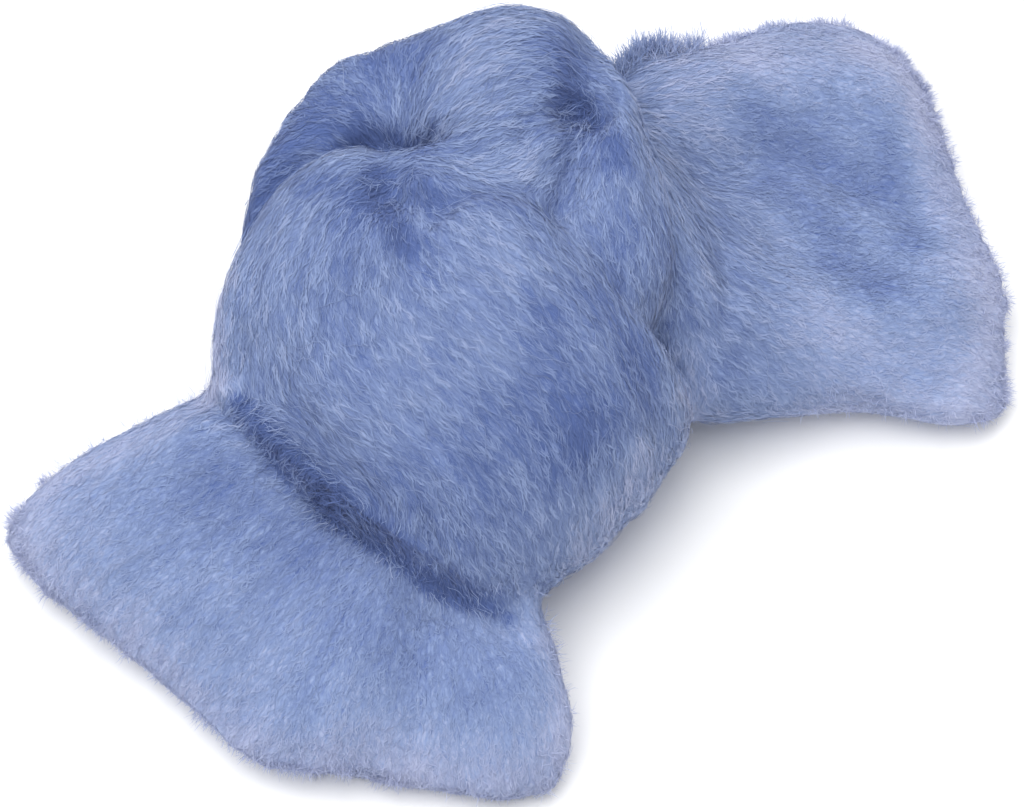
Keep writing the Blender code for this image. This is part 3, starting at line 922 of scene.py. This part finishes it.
EVEN_SHADE = 0.5         # the shade of most fibres
BODY_SHADE = 0.42        # the shade of the wool that shows between the fibres


def bundle_values(path):
    """Return a number from 0 to 1 for each fibre that is alike in fibres side by side."""
    bundle = soft_noise(path / BUNDLE_GRAIN, BUNDLE_SEED).mean(axis=1)
    return np.clip(0.5 + BUNDLE_SPREAD * bundle / bundle.std(), 0, 1)


def fibre_shades(kind, bundle, fan):
    """Return each fibre's shade: its own and its bundle's, closer to even on the fans."""
    own = random.random(len(bundle))
    low, high = kind["shade"]
    shade = low + (high - low) * (own + (bundle - own) * BUNDLE_SHARE)
    return shade + (EVEN_SHADE - shade) * FAN_EVENNESS * fan


def lay_fibres(name, kind, weight, headings=None):
    """Lay one kind of fibre over the body by the weight of its faces; return the object.

    The fibres follow the combing, or set out the way of their face's heading if there is one.
    """
    count, steps = kind["count"], kind["steps"]
    places, faces = surface.scatter(count, weight)
    fan = face_fan[faces]
    length = random.uniform(*kind["length"], count)
    if headings is None:
        outward = facing_way(surface.way[faces], places - KNOT_MIDDLE)
        heading = outward * np.where(random.random(count) < kind["outward"], 1, -1)[:, None]
        length *= 1 - FAN_SHORTNESS * fan
    else:
        heading = unit(headings[faces] + random.normal(0, FREE_SPREAD, (count, 3)))
        length *= np.clip(1 + soft_noise(places / CLUMP_GRAIN, CLUMP_SEED), *CLUMP_LENGTHS)
    tangle = 1 + FAN_TANGLE * fan
    path, normals, ways, path_faces = walk(
        surface, places, faces, heading, steps, length / steps,
        kind["drift"] * tangle, kind["curl"] * tangle, kind["leave"])
    bundle = bundle_values(path)
    side = np.sign((ways * surface.way[path_faces]).sum(axis=2))
    path = crimped(path, normals, ways, kind, length, bundle, side, 1 - FAN_FLATNESS * fan)
    width = random.uniform(*kind["width"], count)
    corners = fibre_corners(path, normals, ways, width, kind)
    corners[:, :, 2] = np.maximum(corners[:, :, 2], FLOOR_GAP)
    mesh = fibre_mesh(name, corners, steps + 1, kind["sides"])
    middle = path_faces[:, steps // 2]
    each = corners.shape[1]
    # The fibres take open, thin and patch from their middle face, with its painted light and shade.
    for number, values in face_numbers.items():
        add_attribute(mesh, number, np.repeat(values[middle], each))
    add_attribute(mesh, "shade", np.repeat(fibre_shades(kind, bundle, fan), each))
    mesh.calc_loop_triangles()
    print(f"{name}: {count} fibres, {len(mesh.loop_triangles)} triangles")
    return put_in_scene(name, mesh)


# %% [markdown]
# The top layer of the wool. It is what the eye reads as roving, so it takes most of the
# triangles: flat strips about a tenth of a millimetre wide, a little off the combing direction.
# Fibres side by side share most of a shade and a height, so that they read as strands. They go
# into several objects, since a mesh should stay a handy size. Where the wool faces the table
# nobody sees a fibre, and there are few.

# %% Lay the top layer
TOP_LAYERS = 4
# What most kinds share. Drift, curl and roll are turns in radians, lengths are mm, shade is on
# the dye's scale, outward is the share that grows away from the knot, and leave is the cosine.
FIBRE = {"steps": 3, "sides": 2, "drift": 0.4, "curl": 0.2, "roll": 0.8, "swing": 0.1,
         "wander": 0.2, "height": (0.0, 0.2), "tips": 0.3, "outward": 0.5, "leave": 0.4}
TOP_LAYER = FIBRE | {
    "count": 36000, "length": (0.7, 2.1), "width": (0.07, 0.12), "period": 1.4,
    "drift": 0.24, "curl": 0.12, "roll": 0.2, "swing": 0.05, "height": (0.0, 0.28),
    "tips": 0.12, "shade": (-0.08, 0.94)}
# how far up a face looks, and how much of the top layer it gets; the same by its openness
SEEN_SLOPES = ((-0.9, -0.2, 0.3), (0.15, 0.6, 1.0))
SEEN_CREASES = ((0.0, 0.25), (0.6, 1.0))
TABLE_BAND = 0.3         # below this height there is none, mm


def seen_share(surface):
    """Return how much of the top layer each face should get: little of it underneath."""
    share = np.interp(surface.normal[:, 2], *SEEN_SLOPES)
    share *= np.interp(face_numbers["open"], *SEEN_CREASES)
    return np.where(surface.middle[:, 2] < TABLE_BAND, 0, share)


seen = seen_share(surface)
fibres = [lay_fibres(f"top_layer_{i + 1}", TOP_LAYER, seen) for i in range(TOP_LAYERS)]

# %% [markdown]
# The torn ends and the loose hairs. A roving isn't cut but pulled apart, so its ends thin out
# into a soft fringe of single fibres, which stand about a millimetre past the body. Short fuzz
# leaves the surface wherever it curves away, which softens every outline, and a few long hairs
# lie across the others. Pale ones bridge the deep creases. Behind the arch the neck of the
# first fan is torn too, and ragged.

# %% Fringe, fuzz and flyaways
FRINGE_REACH = 5.0       # how far back from a torn end the fringe is rooted, mm
FRINGE = FIBRE | {
    "count": 8000, "steps": 4, "length": (1.2, 3.2), "width": (0.04, 0.08), "period": 1.8,
    "drift": 0.3, "curl": 0.15, "swing": 0.12, "wander": 0.15, "height": (0.0, 0.3),
    "shade": (0.3, 1.0), "outward": 1.0, "leave": 0.88}
FUZZ = FIBRE | {
    "count": 12000, "length": (1.0, 3.0), "width": (0.03, 0.06), "period": 1.8,
    "drift": 0.45, "curl": 0.15, "swing": 0.08, "tips": 0.4, "shade": (0.1, 0.8),
    "leave": 0.985}
HALO = FIBRE | {
    "count": 1500, "steps": 8, "length": (3.0, 8.0), "width": (0.03, 0.05), "period": 4.0,
    "drift": 0.2, "curl": 0.08, "swing": 0.15, "wander": 0.4, "height": (0.2, 0.8),
    "tips": 0.0, "shade": (0.0, 0.6), "leave": 0.2}
FLYAWAY = FIBRE | {
    "count": 500, "steps": 12, "sides": 3, "length": (5.0, 14.0), "width": (0.04, 0.06),
    "period": 5.0, "drift": 0.5, "curl": 0.12, "roll": 0.5, "swing": 0.25, "wander": 0.4,
    "height": (0.05, 0.5), "tips": 0.5, "shade": (0.4, 1.0), "leave": 0.3}
# Bridges get a high shade that outweighs the painted shade of the crease they take from their face.
BRIDGES = FIBRE | {
    "count": 2600, "steps": 5, "length": (1.2, 3.4), "width": (0.04, 0.08), "period": 2.0,
    "drift": 0.5, "height": (0.2, 0.8), "shade": (0.7, 1.5), "leave": 0.5}
# The rim's fibres are paler than the rest: a painted glow of the thin torn edge.
RIM = FIBRE | {
    "count": 16000, "length": (0.3, 1.4), "width": (0.03, 0.07), "period": 1.2,
    "curl": 0.5, "swing": 0.08, "wander": 0.1, "height": (0.0, 0.1), "tips": 0.1,
    "shade": (0.7, 1.3), "leave": 2.0}
TUFTS = FIBRE | {
    "count": 2200, "steps": 4, "length": (1.0, 2.6), "width": (0.05, 0.10), "period": 1.8,
    "drift": 0.2, "wander": 0.1, "tips": 0.2, "shade": (0.1, 0.9), "leave": 2.0}
BRIDGED_PATCH = -0.5     # patches painted deeper than this are creases, with painted shade, that hairs bridge
# The neck's torn edge seen from above (x, y) mm, and the way that its fibres point.
TUFT_EDGE = ((10.5, 37), (12.5, 39), (16, 40.5), (20, 41.5))
TUFT_WAY = (0.05, 0.85, 0.5)
TUFT_WIDTH = 1.5         # how near to the edge they stand, mm
TUFT_SLOPE = -0.2        # how far down the edge's faces may look
# Where the outline of the fans is torn to short teeth: name, line seen from above (x, y) mm.
RIMS = [
    ("first fan, top", ((22, 43), (31, 49), (42, 50), (48, 44), (50, 33))),
    ("first fan, right", ((50, 33), (56, 15), (57, 5), (55, -3))),
    ("second fan, tip", ((-54, -14), (-59, -18), (-55, -26))),
    ("second fan, lower side", ((-55, -26), (-43, -37), (-30, -47), (-15, -50))),
]
RIM_REACH = 3.0          # how near to such a line the teeth stand, mm
RIM_LEAST = 0.12         # how many there are on the other sides of a fan
RIM_SLOPE = 0.2          # how far up the faces of the rim look
RIM_SLOPES = 0.6         # how far off that a face may look
RIM_LIFT = 0.2           # how much the fibres of the rim point up rather than out


def end_share():
    """Return how near each face is to a torn end, from 0 to 1."""
    return np.clip(1 - end_gap(face_along) / FRINGE_REACH, 0, 1)


def clump_share():
    """Return the density of free fibres over the faces: from 0 between clumps to 1."""
    noise = soft_noise(surface.middle / CLUMP_GRAIN, CLUMP_SEED)
    return np.clip(0.5 + CLUMP_CONTRAST * noise, CLUMP_LEAST, 1)


def rim_share():
    """Return where the outline of the fans is, from 0 to 1."""
    upright = np.clip(1 - np.abs(surface.normal[:, 2] - RIM_SLOPE) / RIM_SLOPES, 0, 1)
    places = from_above(surface.middle)
    torn = [near_line(places, line, RIM_REACH) for _, line in RIMS]
    torn = np.maximum(np.max(torn, axis=0), RIM_LEAST)
    return face_fan * upright * torn * clump_share()


def tuft_share():
    """Return where the neck's torn edge is, from 0 to 1."""
    near = near_line(from_above(surface.middle), TUFT_EDGE, TUFT_WIDTH)
    return near * clump_share() * (surface.normal[:, 2] > TUFT_SLOPE)


rim_ways = unit(unit(surface.normal * (1, 1, 0)) + (0, 0, RIM_LIFT))
tuft_ways = np.broadcast_to(TUFT_WAY, rim_ways.shape)
fibres.append(lay_fibres("torn_fringe", FRINGE, seen * end_share()))
fibres.append(lay_fibres("fuzz", FUZZ, seen))
fibres.append(lay_fibres("halo", HALO, seen * (1 - face_fan)))
fibres.append(lay_fibres("flyaways", FLYAWAY, seen))
creases = np.clip(BRIDGED_PATCH - face_numbers["patch"], 0, 1)
fibres.append(lay_fibres("bridges", BRIDGES, creases))
fibres.append(lay_fibres("rim", RIM, rim_share(), rim_ways))
fibres.append(lay_fibres("neck_tufts", TUFTS, tuft_share(), tuft_ways))

# %% [markdown]
# The dye, and the painted light and shade. One acid dye bath gives one colour, but wool takes it
# unevenly: soft streaks run with the combing. On top of that the colour carries painted shade, a
# fuller blue in the deep places between folds, and painted light: pale where the wool thins out
# to a torn end, and the patches. A node group holds this once, for the body and for the fibres.
# It takes the numbers stored on the mesh and puts out a colour.

# %% Node helpers
def add_node(tree, kind, values=None, **settings):
    """Add a node to the tree, with its settings first and then the values of its inputs."""
    node = tree.nodes.new(kind)
    for name, value in settings.items():
        setattr(node, name, value)
    for name, value in (values or {}).items():
        node.inputs[name].default_value = value
    return node


def math_node(tree, operation, first, second):
    """Add a Math node that joins two sockets or numbers, and return its output."""
    node = add_node(tree, "ShaderNodeMath", operation=operation)
    for socket, value in zip(node.inputs, (first, second)):
        if isinstance(value, (int, float)):
            socket.default_value = value
        else:
            tree.links.new(value, socket)
    return node.outputs[0]


def ramp_node(tree, factor, stops):
    """Add a colour ramp with the given stops, and return its colour."""
    node = add_node(tree, "ShaderNodeValToRGB")
    elements = node.color_ramp.elements
    while len(elements) < len(stops):
        elements.new(0.5)
    for element, (position, colour) in zip(elements, stops):
        element.position = position
        element.color = (*colour, 1)
    tree.links.new(factor, node.inputs["Fac"])
    return node.outputs["Color"]


def noise_node(tree, grain, detail):
    """Add noise of the given grain in metres, on Object coordinates; return its value."""
    place = add_node(tree, "ShaderNodeTexCoord")
    noise = add_node(tree, "ShaderNodeTexNoise", {"Scale": 1 / grain, "Detail": detail})
    tree.links.new(place.outputs["Object"], noise.inputs["Vector"])
    return noise.outputs["Fac"]


# %% The group of the dye and the painted light and shade
DEEP_BLUE = (0.098, 0.150, 0.360)
MID_BLUE = (0.246, 0.322, 0.538)
PALE_BLUE = (0.440, 0.480, 0.670)
# how much each cause lightens or deepens the colour, on the ramp from deep (0) to pale (1), and
# the value of the cause at which it does neither. Shade, Streak and Strokes are the dye's own;
# Open is painted shade in the creases, Thin a painted glow at thin wool, and Patch both dye and
# painted light and shade.
DYE_AND_PAINTED_LIGHT_CAUSES = {"Open": (0.34, 1.0), "Shade": (0.56, 0.5), "Streak": (0.14, 0.5),
              "Strokes": (0.88, 0.5), "Thin": (0.50, 0.0), "Patch": (1.0, 0.0)}
DYE_BASE = 0.45
# broad clouds in the dye: size, how finely they are broken up, how much they count
CLOUD_GRAIN = 9 * MM
CLOUD_DETAIL = 2.0
CLOUD_AMOUNT = 0.25


def add_sockets(group, inputs, outputs):
    """Add named inputs and outputs to a node group; return its input and output nodes."""
    for in_out, sockets in (("INPUT", inputs), ("OUTPUT", outputs)):
        for name, kind in sockets.items():
            group.interface.new_socket(name, in_out=in_out, socket_type=f"NodeSocket{kind}")
    return add_node(group, "NodeGroupInput"), add_node(group, "NodeGroupOutput")


def dye_and_painted_light_group():
    """Build the node group that colours the wool, with its painted light and shade."""
    group = bpy.data.node_groups.new("periwinkle_dye_and_painted_light", "ShaderNodeTree")
    inputs = {name: "Float" for name in DYE_AND_PAINTED_LIGHT_CAUSES}
    given, result = add_sockets(group, inputs, {"Color": "Color"})
    cloud = math_node(group, "SUBTRACT", noise_node(group, CLOUD_GRAIN, CLOUD_DETAIL), 0.5)
    cloud = math_node(group, "MULTIPLY", cloud, CLOUD_AMOUNT)
    lightness = math_node(group, "ADD", cloud, DYE_BASE)
    for name, (amount, middle) in DYE_AND_PAINTED_LIGHT_CAUSES.items():
        part = math_node(group, "SUBTRACT", given.outputs[name], middle)
        part = math_node(group, "MULTIPLY", part, amount)
        lightness = math_node(group, "ADD", lightness, part)
    colour = ramp_node(group, lightness, [(0.0, DEEP_BLUE), (0.5, MID_BLUE), (1.0, PALE_BLUE)])
    group.links.new(colour, result.inputs["Color"])
    return group


DYE_AND_PAINTED_LIGHT = dye_and_painted_light_group()
print("dye group:", [socket.name for socket in DYE_AND_PAINTED_LIGHT.interface.items_tree])

# %% [markdown]
# Strokes of fibres too fine to model. A merino fibre is a fiftieth of a millimetre thick, so
# what shows between the laid fibres is a fine brushed grain. The same trick as for the grooves
# works in a shader: the noise is read at a row of places along the combing, which the mesh
# stores as "way", and the mean of them is a short stroke. The group puts out the value, which
# both the dye and the relief use.

# %% The strokes group
STROKE_SAMPLES = 7
# grain, m: how much it counts
STROKE_GRAINS = {0.20 * MM: 0.4, 0.45 * MM: 0.6}
STROKE_CONTRAST = 2.2    # the mean of several noises is flatter than one, so it is stretched


def vector_node(tree, operation, first, second):
    """Add a Vector Math node for two sockets, or a socket and a number; return its output."""
    node = add_node(tree, "ShaderNodeVectorMath", operation=operation)
    tree.links.new(first, node.inputs[0])
    if operation == "SCALE":
        node.inputs["Scale"].default_value = second
    else:
        tree.links.new(second, node.inputs[1])
    return node.outputs["Vector"]


def strokes_group():
    """Build the node group that gives brushed strokes along the combing."""
    group = bpy.data.node_groups.new("brushed_strokes", "ShaderNodeTree")
    given, result = add_sockets(group, {"Way": "Vector"}, {"Value": "Float"})
    place = add_node(group, "ShaderNodeTexCoord").outputs["Object"]
    total = None
    for grain, amount in STROKE_GRAINS.items():
        for sample in range(STROKE_SAMPLES):
            offset = (sample - (STROKE_SAMPLES - 1) / 2) * grain
            along = vector_node(group, "SCALE", given.outputs["Way"], offset)
            noise = add_node(group, "ShaderNodeTexNoise", {"Scale": 1 / grain, "Detail": 0.0})
            group.links.new(vector_node(group, "ADD", along, place), noise.inputs["Vector"])
            share = amount * STROKE_CONTRAST / STROKE_SAMPLES
            part = math_node(group, "MULTIPLY", noise.outputs["Fac"], share)
            total = part if total is None else math_node(group, "ADD", total, part)
    value = math_node(group, "ADD", total, 0.5 - STROKE_CONTRAST / 2)
    group.links.new(value, result.inputs["Value"])
    return group


STROKES = strokes_group()
print("strokes group:", len(STROKES.nodes), "nodes")

# %% [markdown]
# The two wool materials share the dye group, painted light and shade included. Wool scatters
# light softly and has no highlight to speak of, only a faint sheen at grazing angles from the
# fuzz. The body takes the strokes, in its colour and as a bump. The laid fibres are real shapes
# already, and need none.

# %% The wool materials
STROKE_DEPTH = 0.14 * MM
PLAIN_STROKE = 0.5       # what the dye reads as its strokes where there are none
WOOL_FINISH = {"Roughness": 0.85, "Specular IOR Level": 0.2, "Sheen Weight": 0.2,
               "Sheen Roughness": 0.5, "Sheen Tint": (0.85, 0.87, 1.0, 1)}


def new_material(name, finish):
    """Make a material with the finish; give it with its node tree and its shader."""
    material = bpy.data.materials.new(name)
    material.use_nodes = True
    shader = material.node_tree.nodes["Principled BSDF"]
    for socket, value in finish.items():
        shader.inputs[socket].default_value = value
    return material, material.node_tree, shader


def wool_material(name, brushed):
    """Make a wool material, with the brushed strokes or without."""
    material, tree, shader = new_material(name, WOOL_FINISH)
    dye = add_node(tree, "ShaderNodeGroup", {"Strokes": PLAIN_STROKE}, node_tree=DYE_AND_PAINTED_LIGHT)
    # open and patch carry painted shade into the colour, thin and patch painted light
    for socket in ("Open", "Shade", "Streak", "Thin", "Patch"):
        source = add_node(tree, "ShaderNodeAttribute", attribute_name=socket.lower())
        tree.links.new(source.outputs["Fac"], dye.inputs[socket])
    tree.links.new(dye.outputs["Color"], shader.inputs["Base Color"])
    if brushed:
        way = add_node(tree, "ShaderNodeAttribute", attribute_name="way")
        strokes = add_node(tree, "ShaderNodeGroup", node_tree=STROKES)
        tree.links.new(way.outputs["Vector"], strokes.inputs["Way"])
        tree.links.new(strokes.outputs["Value"], dye.inputs["Strokes"])
        relief = add_node(tree, "ShaderNodeBump", {"Strength": 1.0, "Distance": STROKE_DEPTH})
        tree.links.new(strokes.outputs["Value"], relief.inputs["Height"])
        tree.links.new(relief.outputs["Normal"], shader.inputs["Normal"])
    return material


add_attribute(body.data, "shade", np.full(len(body.data.vertices), BODY_SHADE))
body.data.materials.append(wool_material("wool_body", brushed=True))
fibre_wool = wool_material("wool_fibre", brushed=False)
for piece in fibres:
    piece.data.materials.append(fibre_wool)

# %% Hand the pieces to the frame
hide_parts("roving")
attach(body, "root")
for piece in fibres:
    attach(piece, "root")

# %% [markdown]
# The stage. The piece lies on a plain, almost white table, under a large soft light from the
# left and a white surround. The shadows stay faint, as over a light table. A weak light from
# behind shines along the far edges, where the wool is so thin that it glows a little.

# %% Table, surround and lights
TABLE_SIZE = 3.0
TABLE_FINISH = {"Base Color": (0.93, 0.93, 0.93, 1), "Roughness": 0.9}
WORLD_STRENGTH = 0.60
# name, place in metres, side in metres, power in watts; each light faces the wool
LIGHTS = [
    ("key", (-0.22, -0.06, 0.87), 0.9, 7.9),
    ("back", (0.25, 0.45, 0.60), 0.6, 1.3),
]


def add_table():
    """Lay the pale table that the wool rests on."""
    bm = bmesh.new()
    bmesh.ops.create_grid(bm, x_segments=1, y_segments=1, size=TABLE_SIZE / 2)
    mesh = bpy.data.meshes.new("table")
    bm.to_mesh(mesh)
    bm.free()
    mesh.materials.append(new_material("pale_table", TABLE_FINISH)[0])
    table = put_in_scene("table", mesh)


def add_surround():
    """Set the white surround."""
    world = bpy.data.worlds.new("surround")
    bpy.context.scene.world = world
    world.use_nodes = True
    background = world.node_tree.nodes["Background"]
    background.inputs["Color"].default_value = (1, 1, 1, 1)
    background.inputs["Strength"].default_value = WORLD_STRENGTH


add_table()
add_surround()
for name, place, size, energy in LIGHTS:
    square = bpy.data.lights.new(name, "AREA")
    square.size = size
    square.energy = energy
    light = put_in_scene(name, square)
    light.location = place
    turn_to(light, place)
bpy.context.scene.view_settings.view_transform = "Standard"
